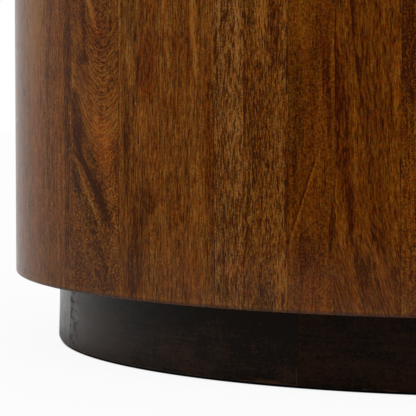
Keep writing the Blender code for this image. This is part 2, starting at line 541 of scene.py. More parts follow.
def timber_grain_group() -> bpy.types.NodeTree:
    """Build the hardwood that the drum and the top share.

    Returns:
        A group that turns board coordinates into colour, roughness and height.
    """
    g = Group(
        "timber_grain",
        values=(
            "Seed", "Lean", "Bend", "Weave", "Wander", "Eye X", "Eye Z", "Eye Stretch", "Eye Depth",
            "Eye Taper", "Ring", "Streak", "Fibre", "Dash", "Fleck", "Pore", "Curl", "Hue", "Joint",
            "Film", "Shift", "Warm", "Half Width",
        ),
        colours=("Deep", "Dark", "Mid", "Light", "Pale", "Dust"),
    )
    given = g.given
    x, y, z = g.split(given["Vector"])
    start = g.join(*(g.math("MULTIPLY", given["Seed"], share) for share in (1.31, 0.77, 2.09)))
    raw = g.vector("ADD", given["Vector"], start)

    # Grain lines, which lean, wander and bend away near the foot
    bend_start = 0.17
    slow = g.noise(raw, (7.0, 7.0, 4.5))
    sway = g.noise(raw, (55.0, 55.0, 16.0))
    drop = g.math("MAXIMUM", g.math("SUBTRACT", bend_start, z), 0.0)
    bend = g.math("MULTIPLY", g.math("MULTIPLY", drop, drop), -1.0)
    across = g.total(
        x, (given["Lean"], z), (bend, given["Bend"]), (slow, given["Wander"]), (sway, 0.0030)
    )
    grain = g.vector("ADD", g.join(across, y, z), start)
    cross = g.noise(raw, (45.0, 45.0, 75.0))
    woven = g.vector("ADD", grain, g.join(g.math("MULTIPLY", cross, 0.006), 0.0, 0.0))
    slanted = g.vector("ADD", grain, g.join(g.math("MULTIPLY", cross, given["Weave"]), 0.0, 0.0))

    # Rings round the eye
    rise = g.math("SUBTRACT", z, given["Eye Z"])
    eye = g.join(
        g.math("SUBTRACT", across, given["Eye X"]),
        g.math("ADD", y, given["Eye Depth"]),
        g.math("MULTIPLY", rise, given["Eye Stretch"]),
    )
    taper = g.math("MULTIPLY", given["Eye Taper"], -1.0)
    radius = g.total(g.math("ADD", g.vector("LENGTH", eye), given["Seed"]), (rise, taper))
    zone = g.line_noise(radius, 36.0)
    band = g.line_noise(radius, 130.0, 1.0)
    line = g.fade(g.math("ABSOLUTE", g.line_noise(radius, 170.0)), 0.05, 0.0)
    ring = g.total(0.0, (zone, 0.7), (band, 0.6), (line, -0.2))

    # Streaks, fibres, flecks and pores
    streak = g.noise(grain, (210.0, 210.0, 6.5), *LAYERED)
    fibre = g.noise(grain, (680.0, 680.0, 50.0), *FINE)
    dash = g.crisp(g.noise(slanted, (900.0, 900.0, 140.0), *FINE))
    fleck = g.crisp(g.noise(woven, (720.0, 720.0, 680.0), *FINE))
    pore = g.fade(g.noise(grain, (820.0, 820.0, 76.0)), 0.10, 0.16)

    # Curl: ripples below the eye, and a mottle away from them
    arch_drop = 0.056
    ripple = g.crisp(g.noise(g.join(across, y, radius), (110.0, 110.0, 760.0), *FINE))
    mottle = g.crisp(g.noise(woven, (560.0, 560.0, 440.0), *FINE))
    arch = g.fade(g.math("ABSOLUTE", g.math("ADD", rise, arch_drop)), 0.090, 0.030)
    curl = g.total(0.0, (ripple, arch), (mottle, g.math("SUBTRACT", 1.0, arch)))

    # Tone, with dirt in the joints, and at the foot a painted highlight just above the rounded arris and
    # painted shade on the arris
    layers = {
        "Ring": ring,
        "Streak": streak,
        "Fibre": fibre,
        "Dash": dash,
        "Fleck": fleck,
        "Pore": g.math("MULTIPLY", pore, -1.0),
        "Curl": curl,
    }
    tone = g.math("ADD", given["Shift"], 0.5)
    tone = g.total(tone, *((layer, given[name]) for name, layer in layers.items()))
    joint_width, arris_foot, arris_top, glint = 0.0012, 0.0680, 0.0694, 0.0703
    edge_start = g.math("SUBTRACT", given["Half Width"], joint_width)
    edge = g.fade(g.math("ABSOLUTE", x), edge_start, given["Half Width"])
    dirt = g.math("MULTIPLY", edge, g.fade(g.noise(raw, (20.0, 20.0, 24.0)), -0.1, 0.22))
    # Painted light at the foot: the rounded arris is darkened as painted shade, and a thin line above it is
    # lightened as a painted highlight
    arris = g.fade(z, arris_top, arris_foot)
    lit = g.fade(g.math("ABSOLUTE", g.math("SUBTRACT", z, glint)), 0.0014, 0.0004)
    arris_light_and_shade = g.total(0.0, (lit, 0.9), (arris, -1.5))
    soiled = g.math("MULTIPLY", given["Joint"], -1.0)
    tone = g.total(tone, (dirt, soiled), (arris_light_and_shade, given["Film"]))

    # Colour by tone, then fine turns of hue, then towards the foot a pale veil that is a painted reflection
    # of the floor
    colour = given["Deep"]
    for low, name in ((0.0, "Dark"), (0.25, "Mid"), (0.5, "Light"), (0.75, "Pale")):
        colour = g.blend(g.fade(tone, low, low + 0.25, smooth=False), colour, given[name])
    fine_hue = g.noise(slanted, (900.0, 900.0, 210.0), *FINE)
    broad_hue = g.noise(grain, (95.0, 95.0, 12.0), *LAYERED)
    warm = g.total(given["Warm"], (g.total(0.0, (fine_hue, 4.6), (broad_hue, 0.4)), given["Hue"]))
    golden = g.math("MULTIPLY", g.noise(grain, (840.0, 840.0, 260.0), *FINE), given["Hue"])
    golden = g.math("MAXIMUM", g.total(1.0, (golden, 2.2)), 0.0)
    tint = g.vector("MULTIPLY_ADD", warm, (0.10, -0.16, -0.40), (1.0, 1.0, 1.0))
    tint = g.vector("MAXIMUM", tint, ORIGIN)
    colour = g.vector("MULTIPLY", g.vector("MULTIPLY", colour, tint), g.join(1.0, 1.0, golden))
    # Painted reflection of the floor: a pale veil that fades in towards the foot and lies thickest on the
    # arris
    reflection_top, reflection_foot = 0.145, 0.062
    film = g.total(g.fade(z, reflection_top, reflection_foot), (arris, 1.2))
    film = g.math("MULTIPLY", film, g.total(1.0, (g.noise(raw, (30.0, 30.0, 60.0), 2.0), 2.0)))
    film = g.math("MULTIPLY", film, given["Film"])
    return g.give(
        Color=g.blend(film, colour, given["Dust"]),
        Roughness=g.total(0.21, (tone, -0.04), (pore, 0.12), (streak, 0.10)),
        Height=g.total(0.5, (fibre, 0.4), (dash, 0.1), (pore, -0.5), (streak, 0.2)),
    )


def figure_group() -> bpy.types.NodeTree:
    """Build the mask of one streak or patch: a leaning ellipse with a ragged edge.

    Returns:
        A group that turns board coordinates into a mask.
    """
    values = ("X", "Z", "Lean", "Width", "Length", "Soft", "Ragged")
    g = Group("grain_figure", values, results=("Mask",))
    given = g.given
    x, _, z = g.split(given["Vector"])
    along = g.math("SUBTRACT", z, given["Z"])
    middle = g.total(given["X"], (along, given["Lean"]))
    wide = g.math("DIVIDE", g.math("SUBTRACT", x, middle), given["Width"])
    long = g.math("DIVIDE", along, given["Length"])
    reach = g.math("SQRT", g.total(g.math("MULTIPLY", wide, wide), (long, long)))
    reach = g.math("ADD", reach, given["Ragged"])
    outside, inside = g.math("ADD", 1.0, given["Soft"]), g.math("SUBTRACT", 1.0, given["Soft"])
    return g.give(Mask=g.fade(reach, outside, inside))


def stain_group() -> bpy.types.NodeTree:
    """Build the dark stain of the plinth: long fine grain round the ring, cloudy wear and rubbed edges.

    Returns:
        A group that turns ring coordinates (along, inward, up) into colour, roughness and height.
    """
    g = Group(
        "espresso_stain",
        values=("Seed", "Low", "High", "Half Length", "Drift", "Shade", "Gloss", "Rub Place", "Rub Reach"),
        colours=("Dark", "Light", "Rubbed"),
    )
    given = g.given
    along, inward, up = g.split(given["Vector"])
    place = g.vector("ADD", given["Vector"], g.join(given["Seed"], given["Seed"], given["Seed"]))
    down = g.math("SUBTRACT", given["High"], up)

    # Tone and hue
    shade_band = (0.036, 0.004)
    cloud = g.noise(place, (22.0, 22.0, 30.0), *LAYERED)
    blotch = g.noise(place, (75.0, 75.0, 60.0), *LAYERED)
    grain = g.noise(place, (14.0, 260.0, 300.0), *LAYERED)
    fibre = g.noise(place, (60.0, 900.0, 1000.0), *FINE)
    speckle = g.noise(place, (430.0, 430.0, 400.0), *LAYERED)
    slide = g.math("DIVIDE", along, given["Half Length"])
    # Painted shade: the tone darkens towards the top, under the drum's overhang, by the Shade value
    under = g.math("MULTIPLY", g.fade(down, *shade_band), -1.0)
    tone = g.total(0.5, (slide, given["Drift"]), (cloud, 1.7), (blotch, 1.2), (grain, 1.3), (fibre, 1.0))
    tone = g.total(tone, (speckle, 2.4), (under, given["Shade"]))
    colour = g.blend(g.fade(tone, 0.0, 1.0, smooth=False), given["Dark"], given["Light"])
    broad_hue = g.noise(place, (48.0, 48.0, 64.0), *LAYERED)
    fine_hue = g.noise(place, (330.0, 330.0, 280.0), *FINE)
    rosy = g.total(0.0, (broad_hue, 3.0), (fine_hue, 2.5))
    tint = g.vector("MULTIPLY_ADD", rosy, (0.22, -0.16, -0.30), (1.0, 1.0, 1.0))
    colour = g.vector("MULTIPLY", colour, tint)

    # Wear along the lower edge and at the lower ends of the joints
    skin, rub_band, end_band, end_drop = (0.006, 0.003), (0.0034, 0.0010), (0.0012, 0.0002), (0.046, 0.056)
    ragged = g.noise(place, (40.0, 40.0, 60.0), 2.0)
    low = g.math("MULTIPLY_ADD", ragged, 0.006, g.math("SUBTRACT", up, given["Low"]))
    away = g.math("ABSOLUTE", g.math("SUBTRACT", along, given["Rub Place"]))
    bare = g.math("MAXIMUM", g.fade(ragged, 0.02, 0.16), g.fade(away, given["Rub Reach"], 0.0))
    bare = g.math("MULTIPLY", bare, g.fade(inward, *skin))
    rubbed = g.math("MULTIPLY", g.fade(low, *rub_band), bare)
    end = g.math("SUBTRACT", given["Half Length"], g.math("ABSOLUTE", along))
    worn_end = g.math("MULTIPLY", g.fade(end, *end_band), g.fade(down, *end_drop))
    wear = g.math("MAXIMUM", rubbed, g.math("MULTIPLY", worn_end, g.fade(ragged, -0.12, 0.06)))
    colour = g.blend(g.math("MULTIPLY", wear, 0.8), colour, given["Rubbed"])

    # Gloss, dulled by grime near the first end
    grime_reach = (0.040, 0.014)
    left = g.math("ADD", given["Half Length"], along)
    spots = g.noise(place, (60.0, 60.0, 190.0), 1.0)
    grime = g.math("MULTIPLY", g.fade(left, *grime_reach), g.fade(spots, -0.02, 0.12))
    roughness = g.total(0.30, (cloud, 0.25), (blotch, 0.22), (grain, 0.10), (wear, 0.15), (grime, 0.18))
    return g.give(
        Color=colour,
        Roughness=g.math("SUBTRACT", roughness, given["Gloss"]),
        Height=g.total(0.5, (grain, 0.5), (fibre, 0.4)),
    )


def plywood_group() -> bpy.types.NodeTree:
    """Build birch plywood: veneers that show as stripes on the edge and as long grain on the faces.

    Returns:
        A group that turns table coordinates, with the height from the sheet's underside, into colour,
        roughness and height.
    """
    g = Group("birch_plywood", values=("Veneer",), colours=("Pale", "Tan", "Glue"))
    given = g.given
    layer = g.math("DIVIDE", g.split(given["Vector"])[2], given["Veneer"])
    odd = g.math("GREATER_THAN", g.math("FRACT", g.math("MULTIPLY", layer, 0.5)), 0.5)
    seam = g.math("ABSOLUTE", g.math("SUBTRACT", g.math("FRACT", layer), 0.5))
    glue = g.fade(seam, 0.42, 0.48)
    lengthways = g.noise(given["Vector"], (9.0, 320.0, 320.0), *LAYERED)
    crossways = g.noise(given["Vector"], (420.0, 420.0, 420.0), 1.0)
    cloud = g.noise(given["Vector"], (5.0, 14.0, 14.0), 2.0)
    tone = g.total(0.5, (lengthways, 0.9), (crossways, 0.3), (cloud, 0.8), (odd, -0.25))
    colour = g.blend(g.fade(tone, 0.1, 0.9), given["Tan"], given["Pale"])
    return g.give(
        Color=g.blend(g.math("MULTIPLY", glue, 0.7), colour, given["Glue"]),
        Roughness=g.total(0.72, (lengthways, 0.2)),
        Height=g.total(0.5, (lengthways, 0.5), (crossways, 0.3), (glue, -0.4)),
    )


def plating_group() -> bpy.types.NodeTree:
    """Build bright zinc plating with faint clouds.

    Returns:
        A group that turns table coordinates into colour, roughness and height.
    """
    g = Group("zinc_plating", colours=("Bright", "Dull"))
    cloud = g.noise(g.given["Vector"], (420.0, 420.0, 420.0), 2.0)
    fine = g.noise(g.given["Vector"], (3200.0, 3200.0, 3200.0), 1.0)
    tone = g.total(0.5, (cloud, 1.3), (fine, 0.6))
    return g.give(
        Color=g.blend(g.fade(tone, 0.0, 1.0), g.given["Dull"], g.given["Bright"]),
        Roughness=g.total(0.34, (cloud, 0.3)),
        Height=g.total(0.5, (fine, 0.4)),
    )


def moulded_group() -> bpy.types.NodeTree:
    """Build moulded nylon: a fine even texture with scuffs.

    Returns:
        A group that turns table coordinates into colour, roughness and height.
    """
    g = Group("moulded_nylon", colours=("Clean", "Scuffed"))
    fine = g.noise(g.given["Vector"], (2600.0, 2600.0, 2600.0), 2.0)
    mask = g.fade(g.noise(g.given["Vector"], (240.0, 700.0, 420.0), 2.0), 0.02, 0.2)
    return g.give(
        Color=g.blend(mask, g.given["Clean"], g.given["Scuffed"]),
        Roughness=g.total(0.56, (mask, 0.14), (fine, 0.2)),
        Height=g.total(0.5, (fine, 0.8), (mask, -0.2)),
    )


def dressed_material(
    name: str,
    dress: Callable[[Sheet, bpy.types.NodeSocket], bpy.types.Node],
    bump: tuple[float, float],
    location: Triple = ORIGIN,
    rotation: Triple = ORIGIN,
    **plain: Link,
) -> bpy.types.Material:
    """Make a material whose colour, roughness and height come from one group.

    Args:
        name: The material's name.
        dress: Places the group on the sheet, given its coordinates.
        bump: Strength and distance of the bump.
        location: Where the pattern's coordinates are moved to.
        rotation: How they are turned before that.
        plain: Constant values of the shader by socket name, with spaces written as underscores.

    Returns:
        The material.
    """
    material = bpy.data.materials.new(name)
    material.use_nodes = True
    sheet = Sheet(material.node_tree)
    place = sheet.node("ShaderNodeTexCoord").outputs["Object"]
    mapping = sheet.node("ShaderNodeMapping", vector_type="POINT")
    sheet.fill(mapping, Vector=place, Location=location, Rotation=rotation)
    group = dress(sheet, mapping.outputs[0]).outputs
    strength, distance = bump
    relief = sheet.node("ShaderNodeBump")
    sheet.fill(relief, Strength=strength, Distance=distance, Height=group["Height"])
    sheet.fill(
        material.node_tree.nodes["Principled BSDF"],
        Base_Color=group["Color"],
        Roughness=group["Roughness"],
        Normal=relief.outputs[0],
        **plain,
    )
    return material


def sockets(finish: object, prefix: str = "", leave: tuple[str, ...] = ()) -> dict[str, Link]:
    """Give the values of a finish by the names of their sockets.

    Args:
        finish: The dataclass that holds the values.
        prefix: What the sockets' names start with.
        leave: Fields that have no socket.

    Returns:
        The values by socket name, with spaces written as underscores.
    """
    names = [item.name for item in fields(finish) if item.name not in leave]
    return {prefix + name.title(): getattr(finish, name) for name in names}


@dataclass(frozen=True)
class Stain:
    """The finish of one plinth segment."""

    seed: float
    dark: Colour = (0.0016, 0.0006, 0.0)
    light: Colour = (0.0080, 0.0036, 0.0014)
    rubbed: Colour = (0.060, 0.024, 0.011)
    drift: float = 0.0
    # Strength of the painted shade towards the top, under the drum's overhang
    shade: float = 0.0
    gloss: float = 0.0
    rub_place: float = 0.05
    rub_reach: float = 0.02
    ior: float = 1.17


@dataclass(frozen=True)
class Palette:
    """Colours of a timber from its darkest pores to its palest fibres, linear."""

    deep: Colour
    dark: Colour
    mid: Colour
    light: Colour
    pale: Colour
    # The colour of the pale veil at the foot, a painted reflection of the floor
    dust: Colour = (0.090, 0.068, 0.056)


HONEY = Palette(
    deep=(0.040, 0.008, 0.0005),
    dark=(0.084, 0.021, 0.0015),
    mid=(0.128, 0.037, 0.003),
    light=(0.174, 0.056, 0.006),
    pale=(0.250, 0.094, 0.015),
)
TAN = Palette(
    deep=(0.036, 0.008, 0.0005),
    dark=(0.080, 0.021, 0.002),
    mid=(0.126, 0.039, 0.005),
    light=(0.180, 0.062, 0.010),
    pale=(0.266, 0.106, 0.023),
)
RUSSET = Palette(
    deep=(0.034, 0.005, 0.0),
    dark=(0.075, 0.015, 0.0),
    mid=(0.112, 0.027, 0.0005),
    light=(0.151, 0.041, 0.0015),
    pale=(0.218, 0.070, 0.005),
)


@dataclass(frozen=True)
class Figure:
    """A streak or patch in a board, in millimetres of board coordinates."""

    x: float
    z: float
    width: float
    length: float
    tone: float
    warm: float = 0.0
    lean: float = 0.0
    soft: float = 0.5


def figures(*rows: tuple[float, ...]) -> tuple[Figure, ...]:
    """Make figures of rows of their values, in the order of their fields.

    Args:
        rows: For each figure its place across and along, half width, half length, tone, warmth, lean
            and softness.

    Returns:
        The figures.
    """
    return tuple(Figure(*row) for row in rows)


@dataclass(frozen=True)
class Eye:
    """The heart that a board's rings run round, in metres of board coordinates."""

    x: float = 0.30
    z: float = 0.20
    stretch: float = 0.05
    depth: float = 0.0
    taper: float = 0.0


@dataclass(frozen=True)
class Timber:
    """The finish of one board: its colours, and how strong each part of its grain is."""

    palette: Palette
    seed: float
    lean: float = 0.0
    bend: float = 0.0
    weave: float = 0.002
    wander: float = 0.010
    eye: Eye = Eye()
    ring: float = 0.35
    streak: float = 0.7
    fibre: float = 0.9
    dash: float = 0.30
    fleck: float = 0.15
    pore: float = 0.2
    curl: float = 0.0
    hue: float = 1.0
    joint: float = 0.3
    # Strength of the painted light at the foot: the highlight above the arris, the shade on it and the
    # reflected floor
    film: float = 0.15
    shift: float = 0.0
    figures: tuple[Figure, ...] = ()


@dataclass(frozen=True)
class BoardFrame:
    """Where a board's own coordinates lie in the table."""

    location: Triple
    rotation: Triple
    half_width: float


class TimberShop:
    """Makes the materials of the timber boards from the shared grain."""

    EDGE_SHARE = 0.8
    RAGGED_SHARE = 1.1
    BUMP = (0.35, 0.0002)
    IOR = 1.088

    def __init__(self) -> None:
        """Build the shared groups once."""
        self.grain = timber_grain_group()
        self.figure = figure_group()

    def dress(self, name: str, timber: Timber, board: BoardFrame) -> bpy.types.Material:
        """Make one board's material.

        Args:
            name: The material's name.
            timber: The board's finish.
            board: Where the board's coordinates lie.

        Returns:
            The material.
        """

        def grain(sheet: Sheet, vector: bpy.types.NodeSocket) -> bpy.types.Node:
            """Place the board's figures and its grain.

            Args:
                sheet: The material's tree.
                vector: Board coordinates.

            Returns:
                The grain's group node.
            """
            shift: Link = timber.shift
            warm: Link = 0.0
            offset = sheet.vector("ADD", vector, (timber.seed, timber.seed, timber.seed))
            rough = sheet.noise(offset, (330.0, 330.0, 28.0), 2.0)
            ragged = sheet.math("MULTIPLY", rough, self.RAGGED_SHARE)
            for mark in timber.figures:
                mask = sheet.group(
                    self.figure,
                    Vector=vector,
                    X=mark.x * MM,
                    Z=mark.z * MM,
                    Lean=mark.lean,
                    Width=mark.width * MM,
                    Length=mark.length * MM,
                    Soft=mark.soft * self.EDGE_SHARE,
                    Ragged=ragged,
                ).outputs["Mask"]
                shift = sheet.total(shift, (mask, mark.tone))
                warm = sheet.total(warm, (mask, mark.warm))
            values = sockets(timber, leave=("palette", "eye", "figures"))
            values |= sockets(timber.eye, "Eye_") | sockets(timber.palette)
            values |= {"Shift": shift, "Warm": warm, "Half_Width": board.half_width}
            return sheet.group(self.grain, Vector=vector, **values)

        return dressed_material(name, grain, self.BUMP, board.location, board.rotation, IOR=self.IOR)


FRONT_TIMBER: dict[int, Timber] = {
    35: Timber(
        HONEY, 3.1, hue=0.4, ring=0.2, streak=0.8, fibre=0.9, dash=0.06, fleck=0.10, pore=0.05,
        joint=0.0, shift=0.03,
        figures=figures(
            (51.3, 239, 3.6, 4, -0.9, 0, 0.03, 0.4),
            (51.6, 74, 3.8, 3, -0.9, 0, 0.03, 0.4),
        ),
    ),
    1: Timber(
        HONEY, 7.7, hue=0.5, ring=0.2, streak=0.75, fibre=1.3, dash=0.36, fleck=0.48, pore=0.05,
        joint=0.0, shift=0.10,
        figures=figures(
            (3.3, 204, 9.3, 153, 0.1, 0.5, 0.02, 0.6),
            (-1.0, 312, 27.1, 63, 0.24, -0.4, 0.02, 0.7),
            (34.1, 249, 3.7, 106, -0.22, 0, 0.01, 0.6),
            (-19.1, 186, 5.7, 82, -0.08, -0.3, 0, 0.6),
        ),
    ),
    2: Timber(
        HONEY, 12.3, hue=0.7, ring=0.2, streak=0.6, fibre=1.3, dash=0.40, fleck=0.48, pore=0.05,
        joint=0.1, shift=-0.03,
        figures=figures(
            (-2.5, 205, 9.5, 149, 0.05, 0.3, 0.01, 0.6),
            (17.1, 269, 6.1, 101, -0.32, -0.2, 0.01, 0.6),
            (16.7, 115, 4.8, 74, -0.18, -0.3, 0.01, 0.8),
            (8.4, 215, 2.0, 52, 0.12, 0.2, 0, 0.6),
            (-19.3, 284, 3.5, 70, -0.15, 0, 0.01, 0.6),
        ),
    ),
    3: Timber(
        HONEY, 17.9, hue=0.9, eye=Eye(0.012, 0.30, 0.0, 0.022, 0.70), ring=0.4, streak=0.3, fibre=0.3,
        dash=0.10, fleck=0.42, curl=0.56, shift=-0.03,
        figures=figures(
            (-15.4, 306, 3.5, 37, -0.3, -0.3, -0.05, 0.5),
            (-4.3, 312, 3.1, 22, 0.42, 0.1, -0.43, 0.5),
            (9.9, 291, 11.8, 18, -0.12, 0.6, -0.04, 0.5),
            (25.0, 296, 1.7, 7, -0.42, 0, 0, 0.5),
            (23.1, 281, 1.5, 7, -0.34, 0, 0.37, 0.5),
            (-15.2, 269, 7.4, 6, -0.28, -0.2, -0.13, 0.5),
            (-35.6, 240, 1.5, 47, 0.3, 0, 0.01, 0.5),
            (-31.0, 269, 3.1, 15, 0.16, -0.1, -0.02, 0.5),
            (12.5, 228, 24.9, 29, 0.15, 0.3, -0.07, 0.4),
            (14.6, 197, 15.3, 23, 0.17, 0.6, -0.21, 0.4),
            (-27.6, 214, 10.5, 26, -0.36, -0.5, -0.23, 0.35),
            (-2.2, 183, 4.7, 7, -0.18, -0.6, -0.94, 0.5),
            (31.3, 176, 3.4, 23, -0.10, 0.1, -0.11, 0.5),
            (21.2, 176, 9.6, 27, 0.16, 0.3, -0.23, 0.4),
            (-15.4, 180, 4.1, 19, -0.4, -0.4, -0.68, 0.8),
            (9.8, 149, 7.0, 22, -0.66, -1.0, -0.66, 0.7),
            (-25.3, 184, 3.5, 7, -0.45, -0.2, -1.57, 0.4),
            (2.7, 90, 38.4, 53, -0.07, -0.1, -0.01, 0.4),
            (-27.9, 164, 7.4, 15, -0.38, -0.9, -0.28, 0.5),
            (-10.6, 155, 2.1, 32, 0.34, 0, -0.72, 0.4),
            (-5.6, 174, 1.7, 14, 0.24, 0, -0.80, 0.4),
            (-13.7, 143, 9.9, 17, -0.1, -0.7, -0.48, 0.5),
            (3.7, 128, 1.5, 3, -0.6, 0, -0.11, 0.4),
            (30.4, 123, 4.8, 14, 0.26, 0.3, -0.05, 0.5),
            (9.2, 106, 3.7, 25, -0.18, -0.2, -0.60, 0.6),
            (-25.9, 88, 8.7, 28, -0.08, 0.2, -0.12, 0.6),
            (11.7, 85, 8.9, 21, -0.16, 0, -0.24, 0.6),
        ),
    ),
    4: Timber(
        HONEY, 23.5, hue=1.0, weave=0.001, streak=0.7, fibre=1.1, dash=0.38, fleck=0.26, pore=0.4,
        shift=0.04,
        figures=figures(
            (-40.3, 304, 11.4, 28, -0.1, -0.4, -0.06, 0.5),
            (-44.8, 303, 1.9, 21, 0.18, -0.3, -0.06, 0.5),
            (-34.7, 298, 1.5, 14, 0.14, -0.3, 0, 0.5),
            (-37.9, 262, 4.8, 18, 0.32, -0.2, -0.16, 0.5),
            (-24.8, 303, 3.0, 20, -0.24, 0.4, 0.06, 0.5),
            (-12.9, 310, 4.7, 21, -0.08, 0.6, 0.06, 0.5),
            (-16.4, 260, 12.0, 28, -0.18, 0.8, 0.04, 0.3),
            (-28.6, 258, 1.6, 26, -0.34, 0, 0.10, 0.5),
            (0.6, 245, 5.1, 20, 0.12, 0.1, -0.16, 0.6),
            (0.5, 310, 1.7, 20, 0.3, 0.2, 0.02, 0.5),
            (32.4, 292, 2.2, 38, 0.36, 0.3, -0.09, 0.5),
            (26.1, 278, 3.7, 36, -0.14, 0.5, -0.01, 0.6),
            (14.4, 257, 4.3, 40, -0.08, 0.4, -0.01, 0.6),
            (38.2, 267, 1.5, 14, 0.18, 0.2, -0.02, 0.5),
            (48.2, 210, 5.2, 66, -0.26, 0.6, 0, 0.5),
            (-42.3, 190, 3.8, 44, -0.32, -0.2, 0, 0.45),
            (-50.8, 191, 1.6, 75, 0.08, 0.2, 0.01, 0.6),
            (-25.1, 214, 6.0, 15, 0.36, 0.4, 0, 0.6),
            (-9.8, 176, 5.8, 41, 0.05, 0.4, -0.05, 0.6),
            (-22.3, 146, 11.5, 19, -0.28, -0.2, 0.28, 0.5),
            (-33.5, 96, 10.0, 33, -0.32, -0.3, 0.06, 0.5),
            (36.9, 159, 6.1, 34, 0.14, 0.2, 0, 0.5),
            (21.3, 137, 2.7, 4, -0.3, 0, 0, 0.4),
            (15.9, 156, 5.4, 28, -0.06, 0.3, -0.04, 0.6),
            (46.5, 114, 1.2, 16, -0.34, 0, -0.09, 0.4),
            (7.1, 105, 7.8, 35, 0.06, 0.2, -0.03, 0.6),
            (33.3, 88, 9.3, 24, 0.06, 0.5, -0.06, 0.6),
            (-53.4, 279, 1.1, 1, 1.4, -0.6, 0, 0.3),
            (-31.8, 230, 1.0, 1, 1.4, -0.6, 0, 0.3),
            (17.5, 74, 0.9, 1, 0.8, -0.4, 0, 0.3),
        ),
    ),
    5: Timber(
        TAN, 29.1, hue=1.1, weave=0.004, streak=0.3, fibre=0.6, dash=0.62, fleck=0.40, pore=0.65,
        shift=0.09,
        figures=figures(
            (8.4, 298, 1.9, 39, 0.34, 0, 0.01, 0.5),
            (8.5, 202, 1.4, 40, 0.2, -0.1, -0.01, 0.5),
            (-5.3, 311, 2.4, 25, -0.3, -0.1, 0.04, 0.5),
            (-12.1, 281, 1.2, 10, -0.4, 0, 0, 0.5),
            (-11.1, 242, 1.5, 15, -0.24, -0.4, 0, 0.5),
            (-9.6, 297, 1.2, 16, 0.24, -0.5, 0.03, 0.5),
            (1.9, 218, 3.8, 48, 0.1, 0, -0.01, 0.6),
            (-1.9, 140, 10.5, 15, -0.14, -0.3, -0.03, 0.5),
            (-5.2, 99, 2.9, 26, -0.14, -0.3, -0.04, 0.5),
            (0.6, 97, 3.3, 7, 0.24, 0.6, 0, 0.5),
            (-13.5, 99, 0.7, 36, -0.5, 0, 0, 0.4),
        ),
    ),
    6: Timber(
        HONEY, 34.7, hue=1.2, weave=0.004, streak=0.3, fibre=0.6, dash=0.58, fleck=0.38, pore=0.7,
        shift=0.02,
        figures=figures(
            (-19.0, 237, 1.6, 43, -0.36, 0, 0, 0.5),
            (-3.3, 302, 4.9, 34, 0.34, 0.2, 0, 0.45),
            (-13.2, 308, 2.7, 20, -0.16, -0.4, 0.04, 0.5),
            (9.1, 293, 6.1, 42, -0.22, 0.4, 0.02, 0.5),
            (16.1, 296, 1.5, 31, 0.24, 0, 0, 0.5),
            (18.7, 266, 0.9, 24, -0.5, 0, 0, 0.4),
            (-6.0, 222, 7.5, 46, -0.14, 0.1, -0.03, 0.6),
            (17.1, 226, 2.2, 12, 0.18, 0.5, 0, 0.5),
            (-13.9, 162, 4.6, 32, 0.06, -0.4, 0, 0.6),
            (18.6, 158, 1.6, 40, -0.45, 0, 0, 0.4),
            (14.4, 92, 4.8, 25, 0.36, 0.1, -0.02, 0.4),
            (-2.0, 75, 9.0, 12, -0.2, -0.6, -0.08, 0.5),
            (5.0, 151, 4.0, 28, 0.08, 0.2, -0.03, 0.6),
        ),
    ),
    7: Timber(
        RUSSET, 40.3, hue=1.2, weave=0.003, streak=0.6, fibre=0.4, dash=0.30, fleck=0.42, pore=0.15,
        shift=0.02,
        figures=figures(
            (-5.1, 300, 9.3, 27, 0.14, 0, -0.02, 0.5),
            (-13.6, 232, 6.6, 48, -0.22, -0.5, 0.01, 0.4),
            (-15.8, 175, 4.3, 27, -0.26, 0, 0.01, 0.5),
            (8.3, 288, 2.5, 23, -0.16, 0.4, -0.02, 0.5),
            (10.0, 256, 0.9, 25, -0.4, 0.3, 0, 0.4),
            (18.0, 258, 1.4, 40, 0.14, 0.2, 0, 0.5),
            (14.6, 240, 1.7, 36, -0.36, 0.2, 0, 0.5),
            (-4.0, 161, 1.0, 38, 0.34, 0.2, 0.35, 0.5),
            (-6.1, 161, 0.8, 38, -0.3, 0, 0.35, 0.5),
            (5.0, 182, 5.5, 60, 0.16, 0.2, 0.06, 0.6),
            (-4.6, 115, 6.8, 16, -0.2, 0, 0.02, 0.5),
            (16.7, 132, 1.8, 21, -0.4, -0.1, 0.04, 0.45),
            (3.2, 74, 14.3, 20, 0.2, 0.3, -0.02, 0.6),
        ),
    ),
    8: Timber(
        RUSSET, 45.9, hue=1.3, lean=0.05, bend=1.4, streak=0.6, fibre=0.8, dash=0.44, fleck=0.24,
        pore=0.35, shift=0.0,
        figures=figures(
            (-12.8, 307, 1.1, 27, -0.45, 0, -0.06, 0.45),
            (-8.0, 259, 1.3, 24, -0.36, 0, -0.17, 0.45),
            (-17.7, 270, 1.0, 10, -0.32, 0.2, -0.25, 0.45),
            (-26.2, 263, 0.7, 37, -0.5, 0.2, 0, 0.4),
            (-22.8, 252, 3.6, 28, -0.22, 0.5, -0.05, 0.5),
            (-20.0, 204, 6.3, 52, -0.26, 0.4, -0.07, 0.4),
            (-16.2, 218, 1.2, 23, -0.16, 0.4, 0.01, 0.5),
            (-9.5, 205, 1.4, 41, 0.24, 0.2, -0.01, 0.5),
            (12.7, 304, 2.0, 21, 0.16, 0.1, -0.02, 0.5),
            (22.4, 253, 2.3, 34, 0.16, 0.4, -0.02, 0.5),
            (-0.6, 215, 1.2, 19, -0.24, 0.1, -0.05, 0.5),
            (-12.7, 145, 2.4, 19, -0.4, 0.1, -0.03, 0.45),
            (-18.7, 135, 2.4, 18, 0.12, 0.2, 0.04, 0.5),
            (-1.6, 95, 8.0, 23, -0.22, -0.4, -0.11, 0.45),
            (12.6, 97, 3.5, 32, 0.22, 0.4, -0.33, 0.5),
            (12.1, 123, 1.6, 14, -0.24, 0.2, -0.20, 0.5),
            (21.3, 153, 3.9, 35, 0.1, 0.3, -0.04, 0.6),
            (-9.6, 77, 3.2, 10, 0.1, 0.5, -0.08, 0.6),
